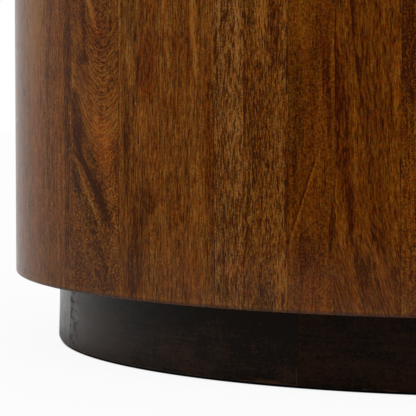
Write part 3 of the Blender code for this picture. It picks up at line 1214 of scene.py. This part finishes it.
            (26.3, 176, 0.7, 12, -0.5, 0, -0.01, 0.4),
            (26.6, 116, 0.7, 7, -0.45, 0, -0.01, 0.4),
        ),
    ),
    9: Timber(
        RUSSET, 51.5, hue=1.3, streak=0.6, fibre=0.5, dash=0.36, fleck=0.54, pore=0.25,
        figures=figures(
            (-42.4, 270, 6.2, 56, -0.31, 0.1, -0.01, 0.4),
            (-42.9, 226, 3.5, 11, 0.2, -0.5, -0.01, 0.5),
            (-40.2, 157, 3.1, 31, 0.08, 0.3, 0.04, 0.5),
            (-44.5, 169, 1.2, 12, -0.2, 0, -0.04, 0.5),
        ),
    ),
}

STAVE_SPAN = (66.0, 378.0)
TOP_MARKS = 22


def chance_figures(number: int, count: int, half_width: float, low: float, high: float) -> tuple[Figure, ...]:
    """Scatter streaks over a board that the photo doesn't show.

    Args:
        number: The board's number, which fixes the scatter.
        count: How many streaks it gets.
        half_width: Half the board's width in millimetres.
        low: Where the board's length starts.
        high: Where it ends.

    Returns:
        The streaks.
    """
    dice = random.Random(number)
    marks = []
    for _ in range(count):
        broad = dice.random()
        marks.append(
            Figure(
                x=dice.uniform(-half_width, half_width),
                z=dice.uniform(low, high),
                width=1.2 + 7.0 * broad * broad,
                length=dice.uniform(0.06, 0.30) * (high - low),
                tone=dice.choice((-1.0, -0.7, 0.8)) * dice.uniform(0.12, 0.40) * (1.15 - 0.5 * broad),
                warm=dice.uniform(-0.5, 0.9),
                lean=dice.uniform(-0.08, 0.08),
            )
        )
    return tuple(marks)


def shares(number: int) -> tuple[float, float]:
    """Spread two values from 0 to 1 evenly over the boards, by a board's number."""
    return (number * 0.618034) % 1.0, (number * 0.414214) % 1.0


def other_timber(number: int, half_width: float) -> Timber:
    """Choose the finish of a stave that the photo doesn't show.

    Args:
        number: The stave's number.
        half_width: Half its width in millimetres.

    Returns:
        Its finish.
    """
    turn, other = shares(number)
    arched = number % 3 == 0
    arch = Eye(0.02 * (other - 0.5), 0.05 + 0.25 * turn, stretch=0.0, depth=0.009, taper=0.3 + 0.2 * other)
    marks = 6 + int(half_width / 8.0)
    return Timber(
        (HONEY, TAN, RUSSET, HONEY)[number % 4],
        seed=60.0 + 5.6 * number,
        lean=0.10 * (turn - 0.5),
        eye=arch if arched else Eye(),
        ring=0.7 if arched else 0.4,
        fibre=0.7 + 0.6 * other,
        dash=0.22 + 0.22 * other,
        fleck=0.12 + 0.14 * turn,
        shift=0.12 * (other - 0.5),
        figures=chance_figures(number, marks, half_width, *STAVE_SPAN),
    )


def top_timber(number: int, half_width: float, reach: float) -> Timber:
    """Choose the finish of a top board, whose rings run out as long arches.

    Args:
        number: The board's number.
        half_width: Half its width in millimetres.
        reach: Half the board's length in millimetres.

    Returns:
        Its finish.
    """
    turn, other = shares(number)
    arched = number % 2 == 0
    arch = Eye(0.03 * (other - 0.5), 0.5 * (turn - 0.5), stretch=0.0, depth=0.010, taper=0.12 + 0.06 * other)
    return Timber(
        (HONEY, TAN, RUSSET)[number % 3],
        seed=300.0 + 7.3 * number,
        lean=0.04 * (turn - 0.5),
        eye=arch if arched else Eye(z=0.0, stretch=0.03),
        ring=0.8 if arched else 0.5,
        fibre=0.7 + 0.5 * other,
        dash=0.22 + 0.18 * other,
        fleck=0.12 + 0.12 * turn,
        film=0.0,
        shift=0.12 * (other - 0.5),
        figures=chance_figures(100 + number, TOP_MARKS, half_width, -reach, reach),
    )


PLINTH_STAIN: tuple[Stain, ...] = (
    Stain(2.0, dark=(0.0004, 0.0001, 0.0), light=(0.0165, 0.0058, 0.0019), ior=1.15),
    Stain(5.3, rub_place=-0.04),
    Stain(8.1, dark=(0.0024, 0.0008, 0.0002), light=(0.0092, 0.0040, 0.0018), drift=0.25),
    Stain(11.9, rub_place=0.10),
    Stain(14.2, drift=-0.20),
    Stain(17.7, dark=(0.0030, 0.0006, 0.0), light=(0.0105, 0.0036, 0.0012), rub_place=-0.11),
    Stain(20.4, light=(0.0160, 0.0080, 0.0034), gloss=0.05, ior=1.19),
    # Painted shade: this segment is darker in its upper band, under the drum's overhang
    Stain(
        23.6,
        dark=(0.0010, 0.0003, 0.0),
        light=(0.0235, 0.0110, 0.0054),
        drift=-0.42,
        shade=0.55,
        rub_place=0.138,
        rub_reach=0.028,
    ),
)


@dataclass
class Drum:
    """The drum's wall: staves glued edge to edge round two rings."""

    shop: TimberShop
    radius: float = 0.457
    thickness: float = 0.022
    underside: float = 0.066
    top: float = 0.3777
    arris: float = 0.0025
    ease: float = 0.00006
    joint: float = 0.00012
    first_joint: float = math.radians(-155.85)
    front_widths: tuple[float, ...] = (0.073, 0.049, 0.072, 0.108, 0.028, 0.040, 0.039, 0.053)
    back_mix: tuple[float, ...] = (0.096, 0.058, 0.118, 0.074, 0.104, 0.066, 0.094, 0.082, 0.112)
    back_rounds: int = 3
    step: float = math.radians(0.5)

    def widths(self) -> list[float]:
        """Give all staves' widths in turn from the first joint.

        Returns:
            The widths, of which those behind are scaled to close the circle.
        """
        rest = self.back_mix * self.back_rounds
        scale = (2 * math.pi * self.radius - sum(self.front_widths)) / sum(rest)
        return [*self.front_widths, *(width * scale for width in rest)]

    def stave(self, name: str, start: float, turn: float) -> bpy.types.Object:
        """Model one stave.

        Args:
            name: Its name.
            start: Angle of its first edge.
            turn: Angle that it covers.

        Returns:
            The stave.
        """
        inner = self.radius - self.thickness
        piece = Bench.upright_section(name, inner, self.radius, self.underside, self.top, start)
        with Bench.editing(piece):
            Bench.round_corner(piece, self.radius, self.underside, self.arris)
            Bench.sweep(turn, self.step)
        Bench.ease_edges(piece, self.ease)
        return piece

    def build(self) -> None:
        """Model and dress every stave."""
        angle = self.first_joint
        gap = self.joint / self.radius
        for number, width in enumerate(self.widths(), start=1):
            name = f"stave_{number:02d}"
            turn = width / self.radius
            piece = self.stave(name + "_board", angle + gap / 2, turn - gap)
            middle = angle + turn / 2
            board = BoardFrame((0.0, self.radius, 0.0), (0.0, 0.0, -middle - math.pi / 2), width / 2)
            timber = FRONT_TIMBER.get(number) or other_timber(number, width / MM / 2)
            material = self.shop.dress(name + "_timber", timber, board)
            Bench.place(piece, TABLE_BODY, Slot.STAVE_WOOD, name, material)
            angle += turn


@dataclass
class TopPanel:
    """The boarded round top: one disc sawn along X into boards."""

    shop: TimberShop
    radius: float = 0.457
    thickness: float = 0.022
    top: float = 0.400
    arris: float = 0.0025
    ease: float = 0.00006
    joint: float = 0.00012
    mix: tuple[float, ...] = (0.118, 0.146, 0.124, 0.152, 0.128, 0.140, 0.106)
    sides: int = 480

    def disc(self) -> bpy.types.Object:
        """Model the whole panel before it is sawn, with its upper rim rounded.

        Returns:
            The panel.
        """
        low = self.top - self.thickness
        disc = Bench.turned_blank("top_blank", self.sides, self.radius, low, self.top)
        with Bench.editing(disc):
            Bench.pick(disc, "EDGE", lambda co: co.z > low + self.thickness / 2)
            bpy.ops.mesh.bevel(offset=self.arris, segments=Bench.ARRIS_STEPS, affect="EDGES")
        return disc

    def board(self, disc: bpy.types.Object, name: str, front: float, back: float) -> bpy.types.Object:
        """Saw one board out of a copy of the panel.

        Args:
            disc: The whole panel.
            name: The board's name.
            front: Where its front edge lies.
            back: Where its back edge lies.

        Returns:
            The board.
        """
        piece = disc.copy()
        piece.data = disc.data.copy()
        piece.name = piece.data.name = name
        bpy.context.scene.collection.objects.link(piece)
        with Bench.editing(piece):
            for cut, facing in ((front + self.joint / 2, -1.0), (back - self.joint / 2, 1.0)):
                if self.radius - abs(cut) < self.joint:
                    continue
                bpy.ops.mesh.select_all(action="SELECT")
                bpy.ops.mesh.bisect(
                    plane_co=(0.0, cut, 0.0), plane_no=(0.0, facing, 0.0), use_fill=True, clear_outer=True
                )
            Bench.weld()
        Bench.ease_edges(piece, self.ease)
        return piece

    def build(self) -> None:
        """Saw and dress every board."""
        disc = self.disc()
        turn = tuple(Matrix(((0, -1, 0), (0, 0, -1), (1, 0, 0))).to_euler())
        scale = 2 * self.radius / sum(self.mix)
        front = -self.radius
        for number, share in enumerate(self.mix, start=1):
            name = f"top_board_{number}"
            width = share * scale
            back = front + width
            piece = self.board(disc, name + "_plank", front, back)
            board = BoardFrame(((front + back) / 2, self.top, 0.0), turn, width / 2)
            timber = top_timber(number, width / MM / 2, self.radius / MM)
            material = self.shop.dress(name + "_timber", timber, board)
            Bench.place(piece, TABLE_BODY, Slot.TOP_WOOD, name, material)
            front = back
        bpy.data.objects.remove(disc)


@dataclass
class InnerRings:
    """The plywood rings inside the drum."""

    outer: float = 0.4347
    inner: float = 0.3597
    thickness: float = 0.018
    bottoms: dict[str, float] = field(default_factory=lambda: {"lower_ring": 0.066, "upper_ring": 0.3597})
    ease: float = 0.0004
    sides: int = 256
    veneers: int = 13
    pale: Colour = (0.58, 0.42, 0.25)
    tan: Colour = (0.36, 0.23, 0.12)
    glue: Colour = (0.10, 0.055, 0.028)
    bump: tuple[float, float] = (0.3, 0.0003)

    def ring(self, name: str, bottom: float) -> bpy.types.Object:
        """Model one ring from a disc whose middle is taken out.

        Args:
            name: Its name.
            bottom: Height of its underside.

        Returns:
            The ring.
        """
        top = bottom + self.thickness
        middle = (self.outer + self.inner) / 2
        piece = Bench.turned_blank(name, self.sides, self.outer, bottom, top)
        with Bench.editing(piece):
            for height in (bottom, top):
                Bench.pick(piece, "FACE", lambda co: abs(co.z - height) < NEAR)
                bpy.ops.mesh.inset(thickness=(self.outer - self.inner) * math.cos(math.pi / self.sides))
                bpy.ops.mesh.delete(type="FACE")
            Bench.pick(piece, "EDGE", lambda co: math.hypot(co.x, co.y) < middle)
            bpy.ops.mesh.bridge_edge_loops()
            Bench.face_out()
        Bench.ease_edges(piece, self.ease)
        return piece

    def build(self) -> None:
        """Model and dress both rings."""
        group = plywood_group()
        for name, bottom in self.bottoms.items():
            piece = self.ring(name + "_ply", bottom)
            material = dressed_material(
                name + "_plywood",
                lambda sheet, vector: sheet.group(
                    group,
                    Vector=vector,
                    Veneer=self.thickness / self.veneers,
                    Pale=self.pale,
                    Tan=self.tan,
                    Glue=self.glue,
                ),
                self.bump,
                location=(0.0, 0.0, -bottom),
            )
            Bench.place(piece, TABLE_BODY, Slot.PLYWOOD, name, material)


@dataclass
class Plinth:
    """The recessed dark ring of eight segments, bored for the feet."""

    radius: float = 0.416
    wall: float = 0.030
    flare: float = 0.0015
    bottom: float = 0.002
    top: float = 0.0657
    arris: float = 0.0025
    ease: float = 0.0002
    segments: int = 8
    first_seam: float = math.radians(-110.95)
    joint: float = 0.00016
    step: float = math.radians(0.6)
    counterbore: tuple[float, float] = (0.0093, 0.0061)
    bore: tuple[float, float] = (0.0064, 0.0383)
    drill_start: float = -0.004
    drill_sides: int = 64
    sheen: Colour = (1.0, 0.80, 0.66)
    bump: tuple[float, float] = (0.25, 0.0002)

    def segment(self, name: str, start: float, turn: float) -> bpy.types.Object:
        """Model one segment without its bore.

        Args:
            name: Its name.
            start: Angle of its first end.
            turn: Angle that it covers.

        Returns:
            The segment.
        """
        inner = self.radius - self.wall
        middle = self.radius - self.wall / 2
        upper = (self.bottom + self.top) / 2
        inward = (-self.flare * math.cos(start), -self.flare * math.sin(start), 0.0)
        piece = Bench.upright_section(name, inner, self.radius, self.bottom, self.top, start)
        with Bench.editing(piece):
            Bench.pick(piece, "VERT", lambda co: co.z > upper and math.hypot(co.x, co.y) > middle)
            bpy.ops.transform.translate(value=inward)
            Bench.round_corner(piece, self.radius, self.bottom, self.arris)
            Bench.sweep(turn, self.step)
        return piece

    def drill(self, piece: bpy.types.Object, angle: float) -> None:
        """Cut the stepped hole of a foot from below.

        Args:
            piece: The segment.
            angle: Where the hole's middle lies.
        """
        radius = self.radius - self.wall / 2
        x, y = radius * math.cos(angle), radius * math.sin(angle)
        wide, step_height = self.counterbore
        narrow, top = self.bore
        drill = Bench.turned_blank("drill", self.drill_sides, wide, self.drill_start, step_height, x, y)
        with Bench.editing(drill):
            Bench.pick(drill, "FACE", lambda co: co.z > step_height - NEAR)
            bpy.ops.mesh.inset(thickness=wide - narrow)
            bpy.ops.mesh.extrude_region_move(TRANSFORM_OT_translate={"value": (0.0, 0.0, top - step_height)})
            Bench.face_out()
        Bench.take(piece)
        cut = piece.modifiers.new("Drill", "BOOLEAN")
        cut.operation = "DIFFERENCE"
        cut.solver = "EXACT"
        cut.object = drill
        bpy.ops.object.modifier_apply(modifier=cut.name)
        bpy.data.objects.remove(drill)

    def finish(self, name: str, group: bpy.types.NodeTree, stain: Stain, middle: float) -> bpy.types.Material:
        """Stain one segment.

        Args:
            name: The material's name.
            group: The shared stain.
            stain: The segment's own tones.
            middle: Angle of the segment's middle.

        Returns:
            The material.
        """

        def dress(sheet: Sheet, vector: bpy.types.NodeSocket) -> bpy.types.Node:
            """Unroll the ring and place the stain on it.

            Args:
                sheet: The material's tree.
                vector: Table coordinates, turned until the segment's middle lies on +X.

            Returns:
                The stain's group node.
            """
            x, y, z = sheet.split(vector)
            along = sheet.math("MULTIPLY", sheet.math("ARCTAN2", y, x), self.radius)
            inward = sheet.math("SUBTRACT", self.radius, sheet.vector("LENGTH", sheet.join(x, y, 0.0)))
            return sheet.group(
                group,
                Vector=sheet.join(along, inward, z),
                Low=self.bottom,
                High=self.top,
                Half_Length=math.pi * self.radius / self.segments,
                **sockets(stain, leave=("ior",)),
            )

        turned = (0.0, 0.0, -middle)
        return dressed_material(
            name, dress, self.bump, rotation=turned, IOR=stain.ior, Specular_Tint=self.sheen
        )

    def build(self) -> None:
        """Model, bore and dress every segment."""
        group = stain_group()
        turn = 2 * math.pi / self.segments
        gap = self.joint / self.radius
        for number in range(self.segments):
            name = f"plinth_segment_{number + 1}"
            start = self.first_seam + number * turn
            piece = self.segment(name + "_ring", start + gap / 2, turn - gap)
            if number % 2 == 0:
                self.drill(piece, start + turn / 2)
            Bench.ease_edges(piece, self.ease)
            material = self.finish(name + "_stain", group, PLINTH_STAIN[number], start + turn / 2)
            Bench.place(piece, TABLE_BODY, Slot.PLINTH_WOOD, name, material)


@dataclass
class LevellingFeet:
    """The four screw-in feet, each a nylon pad on a threaded stem, and the inserts that they turn in."""

    circle: float = 0.401
    first: float = math.radians(-88.45)
    bodies: tuple[str, ...] = ("front_foot", "right_foot", "back_foot", "left_foot")
    pad_radius: float = 0.009
    pad_height: float = 0.004
    pad_sides: int = 72
    pad_rounding: tuple[float, float] = (0.0008, 0.0004)
    rounding_steps: int = 3
    rim_share: float = 0.99
    flutes: int = 24
    flute_share: tuple[float, float] = (0.3, 0.7)
    flute_heights: tuple[float, float] = (0.001, 0.0034)
    flute_edge: float = 0.00012
    flute_depth: float = 0.00035
    collar: float = 0.0024
    dish: float = 0.0005
    pad_smooth: float = math.radians(28.0)
    stem_radius: float = 0.004
    stem_top: float = 0.038
    stem_seat: float = 0.0006
    stem_sides: int = 24
    pitch: float = 0.00125
    stem_cuts: int = 100
    thread_depth: float = 0.0006
    chamfer: float = 0.0010
    stem_smooth: float = math.radians(60.0)
    bright: Colour = (0.66, 0.66, 0.63)
    dull: Colour = (0.42, 0.43, 0.43)
    zinc_bump: tuple[float, float] = (0.2, 0.00005)
    clean: Colour = (0.010, 0.010, 0.011)
    scuffed: Colour = (0.032, 0.032, 0.034)
    nylon_bump: tuple[float, float] = (0.3, 0.00005)

    def pad(self, name: str, x: float, y: float) -> bpy.types.Object:
        """Model one nylon pad with a fluted rim.

        Args:
            name: Its name.
            x: Place along X.
            y: Place along Y.

        Returns:
            The pad.
        """
        flute = 2 * math.pi / self.flutes
        first, last = self.flute_share
        low, high = self.flute_heights

        def in_flute(co: Vector) -> bool:
            """Tell the rim's faces that lie in a flute.

            Args:
                co: The middle of a face.

            Returns:
                Whether the face is part of a flute.
            """
            side = math.hypot(co.x - x, co.y - y) > self.pad_radius * self.rim_share
            share = (math.atan2(co.y - y, co.x - x) / flute) % 1.0
            return side and first < share < last and low < co.z < high

        piece = Bench.turned_blank(name, self.pad_sides, self.pad_radius, 0.0, self.pad_height, x, y)
        with Bench.editing(piece):
            for height, offset in zip((0.0, self.pad_height), self.pad_rounding):
                Bench.pick(piece, "EDGE", lambda co: abs(co.z - height) < NEAR)
                bpy.ops.mesh.bevel(offset=offset, segments=self.rounding_steps, affect="EDGES")
            Bench.pick(piece, "FACE", in_flute, every_corner=False)
            bpy.ops.mesh.inset(thickness=self.flute_edge, depth=-self.flute_depth, use_individual=True)
            Bench.pick(piece, "FACE", lambda co: abs(co.z - self.pad_height) < NEAR)
            bpy.ops.mesh.inset(thickness=self.collar)
            bpy.ops.mesh.inset(thickness=self.dish, depth=-self.dish)
        Bench.shade(piece, self.pad_smooth)
        return piece

    def stem(self, name: str, x: float, y: float) -> bpy.types.Object:
        """Model one threaded stem.

        Args:
            name: Its name.
            x: Place along X.
            y: Place along Y.

        Returns:
            The stem.
        """
        low = self.pad_height - self.stem_seat
        length = self.stem_top - low
        piece = Bench.turned_blank(name, self.stem_sides, self.stem_radius, low, self.stem_top, x, y)
        with Bench.editing(piece):
            bpy.ops.mesh.select_mode(type="EDGE")
            bpy.ops.mesh.select_all(action="DESELECT")
            shape = bmesh.from_edit_mesh(piece.data)
            for edge in shape.edges:
                edge.select_set(abs(edge.verts[0].co.z - edge.verts[1].co.z) > length / 2)
            bmesh.update_edit_mesh(piece.data)
            bpy.ops.mesh.subdivide(number_cuts=self.stem_cuts)
            shape = bmesh.from_edit_mesh(piece.data)
            for vert in shape.verts:
                across, along = vert.co.x - x, vert.co.y - y
                turn = math.atan2(along, across) / (2 * math.pi)
                wave = abs(((vert.co.z / self.pitch - turn) % 1.0) - 0.5) * 2
                tip = max(0.0, self.chamfer - (self.stem_top - vert.co.z))
                cut = min(self.thread_depth * wave + tip, self.chamfer + self.thread_depth)
                scale = (self.stem_radius - cut) / self.stem_radius
                vert.co.x, vert.co.y = x + across * scale, y + along * scale
            bmesh.update_edit_mesh(piece.data)
        Bench.shade(piece, self.stem_smooth)
        return piece

    def build(self) -> None:
        """Model and dress the feet, and plate the inserts."""
        plating, nylon = plating_group(), moulded_group()
        zinc = dressed_material(
            "zinc",
            lambda sheet, vector: sheet.group(plating, Vector=vector, Bright=self.bright, Dull=self.dull),
            self.zinc_bump,
            Metallic=1.0,
        )
        black = dressed_material(
            "nylon",
            lambda sheet, vector: sheet.group(nylon, Vector=vector, Clean=self.clean, Scuffed=self.scuffed),
            self.nylon_bump,
        )
        for index, body in enumerate(self.bodies):
            angle = self.first + index * math.pi / 2
            x, y = self.circle * math.cos(angle), self.circle * math.sin(angle)
            node = f"levelling_foot_{index + 1}"
            Bench.place(self.pad(body + "_pad", x, y), body, Slot.BLACK_NYLON, node, black)
            Bench.place(self.stem(body + "_stem", x, y), body, Slot.ZINC_STEEL, node, zinc)
            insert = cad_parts[f"foot_insert_{index + 1}"]
            insert.material_slots[0].material = zinc
            LOG.info("%s: packed shape, plated", insert.name)


@dataclass
class Studio:
    """Floor, light and camera."""

    white: Colour = (1.0, 1.0, 1.0)
    room_light: float = 0.85
    floor_size: float = 16.0
    floor_white: float = 0.92
    floor_roughness: float = 0.9
    pale: Colour = (0.86, 0.86, 0.86)
    # Painted shadow: the floor's colour under the plinth, as the camera sees it
    gap_shade: Colour = (0.05, 0.05, 0.05)
    shade_radius: float = 0.416
    shade_edge: tuple[float, float] = (0.0036, 0.0006)
    mirror_reach: float = 0.16
    key_power: float = 8.0
    key_size: float = 1.6
    key_place: Triple = (-2.0, -1.6, 2.2)
    key_aim: Triple = (0.0, 0.0, 0.2)
    lens: float = 180.0
    sensor: float = 36.0
    camera_place: Triple = (0.0, -2.055, 0.248)
    camera_turn: Triple = (math.pi / 2 - 0.0606, 0.0, 0.1320)

    def white_rays(self, sheet: Sheet) -> bpy.types.NodeSocket:
        """Tell camera, glossy and transmission rays from the rays that light the object.

        Args:
            sheet: The tree to work on.

        Returns:
            1 for rays that see the white background.
        """
        path = sheet.node("ShaderNodeLightPath").outputs
        seen = sheet.math("MAXIMUM", path["Is Camera Ray"], path["Is Glossy Ray"])
        return sheet.math("MAXIMUM", seen, path["Is Transmission Ray"])

    def world(self) -> None:
        """Give the room its even white light."""
        world = bpy.data.worlds.new("white_room")
        bpy.context.scene.world = world
        world.use_nodes = True
        sheet = Sheet(world.node_tree)
        nodes = world.node_tree.nodes
        light = sheet.fill(nodes["Background"], Color=self.white, Strength=self.room_light)
        white = sheet.fill(sheet.node("ShaderNodeBackground"), Color=self.white)
        room = sheet.mix_shaders(self.white_rays(sheet), light.outputs[0], white.outputs[0])
        sheet.fill(nodes["World Output"], Surface=room)

    def floor_finish(self) -> bpy.types.Material:
        """Make a pale floor that keeps the table's shadow and lets light through to the underside.

        Returns:
            The material.
        """
        material = bpy.data.materials.new("pale_floor")
        material.use_nodes = True
        sheet = Sheet(material.node_tree)
        nodes = material.node_tree.nodes
        away = sheet.vector("LENGTH", sheet.node("ShaderNodeTexCoord").outputs["Object"])
        path = sheet.node("ShaderNodeLightPath").outputs

        # White for the eye, but for the shade under the plinth, which mirrors see farther out
        seen = path["Is Camera Ray"]
        reach = sheet.total(self.mirror_reach, (seen, -self.mirror_reach))
        shade_start, shade_end = (self.shade_radius - edge for edge in self.shade_edge)
        clear = sheet.fade(away, shade_start, sheet.math("ADD", reach, shade_end))
        open_floor = sheet.math("MAXIMUM", clear, sheet.math("SUBTRACT", 1.0, seen))
        # Painted shadow: for the camera, the floor under the plinth takes the dark gap_shade colour, so the
        # gap under the plinth reads dark
        pale = sheet.fill(
            nodes["Principled BSDF"],
            Base_Color=sheet.blend(open_floor, self.gap_shade, self.pale),
            Roughness=self.floor_roughness,
            Specular_IOR_Level=0.0,
        )
        share = sheet.math("MULTIPLY", clear, self.floor_white)
        share = sheet.math("MULTIPLY", self.white_rays(sheet), share)
        lit = sheet.mix_shaders(share, pale.outputs[0], sheet.node("ShaderNodeEmission").outputs[0])

        # Open from below, and to the light under the table
        light = sheet.math("MAXIMUM", path["Is Diffuse Ray"], path["Is Shadow Ray"])
        light = sheet.math("MULTIPLY", light, sheet.math("LESS_THAN", away, self.shade_radius))
        below = sheet.node("ShaderNodeNewGeometry").outputs["Backfacing"]
        gone = sheet.node("ShaderNodeBsdfTransparent").outputs[0]
        surface = sheet.mix_shaders(sheet.math("MAXIMUM", below, light), lit, gone)
        sheet.fill(nodes["Material Output"], Surface=surface)
        return material

    def floor(self) -> None:
        """Lay the floor under the table."""
        Bench.clear_selection()
        bpy.ops.mesh.primitive_plane_add(size=self.floor_size, location=ORIGIN)
        floor = bpy.context.active_object
        floor.name = "studio_floor"
        floor.data.materials.append(self.floor_finish())

    def lamps(self) -> None:
        """Hang one soft key light to the front left, high up."""
        data = bpy.data.lights.new("key", "AREA")
        data.shape = "DISK"
        data.size = self.key_size
        data.energy = self.key_power
        lamp = bpy.data.objects.new("key", data)
        lamp.location = self.key_place
        lamp.rotation_euler = (Vector(self.key_aim) - lamp.location).to_track_quat("-Z", "Y").to_euler()
        lamp.visible_camera = False
        bpy.context.scene.collection.objects.link(lamp)

    def camera(self) -> None:
        """Stand the camera where the photo was taken."""
        data = bpy.data.cameras.new("camera")
        data.lens = self.lens
        data.sensor_width = self.sensor
        camera = bpy.data.objects.new("camera", data)
        camera.location = self.camera_place
        camera.rotation_euler = Euler(self.camera_turn)
        bpy.context.scene.collection.objects.link(camera)
        bpy.context.scene.camera = camera

    def build(self) -> None:
        """Set up the studio."""
        self.camera()
        self.world()
        self.floor()
        self.lamps()
        bpy.context.scene.view_settings.view_transform = "Standard"


def main() -> None:
    """Build the table's looks and the studio round it."""
    logging.basicConfig(level=logging.INFO, format="%(name)s %(message)s")
    Studio().build()
    shop = TimberShop()
    Drum(shop).build()
    TopPanel(shop).build()
    InnerRings().build()
    Plinth().build()
    LevellingFeet().build()
    Bench.clear_selection()


if __name__ == "__main__":
    main()
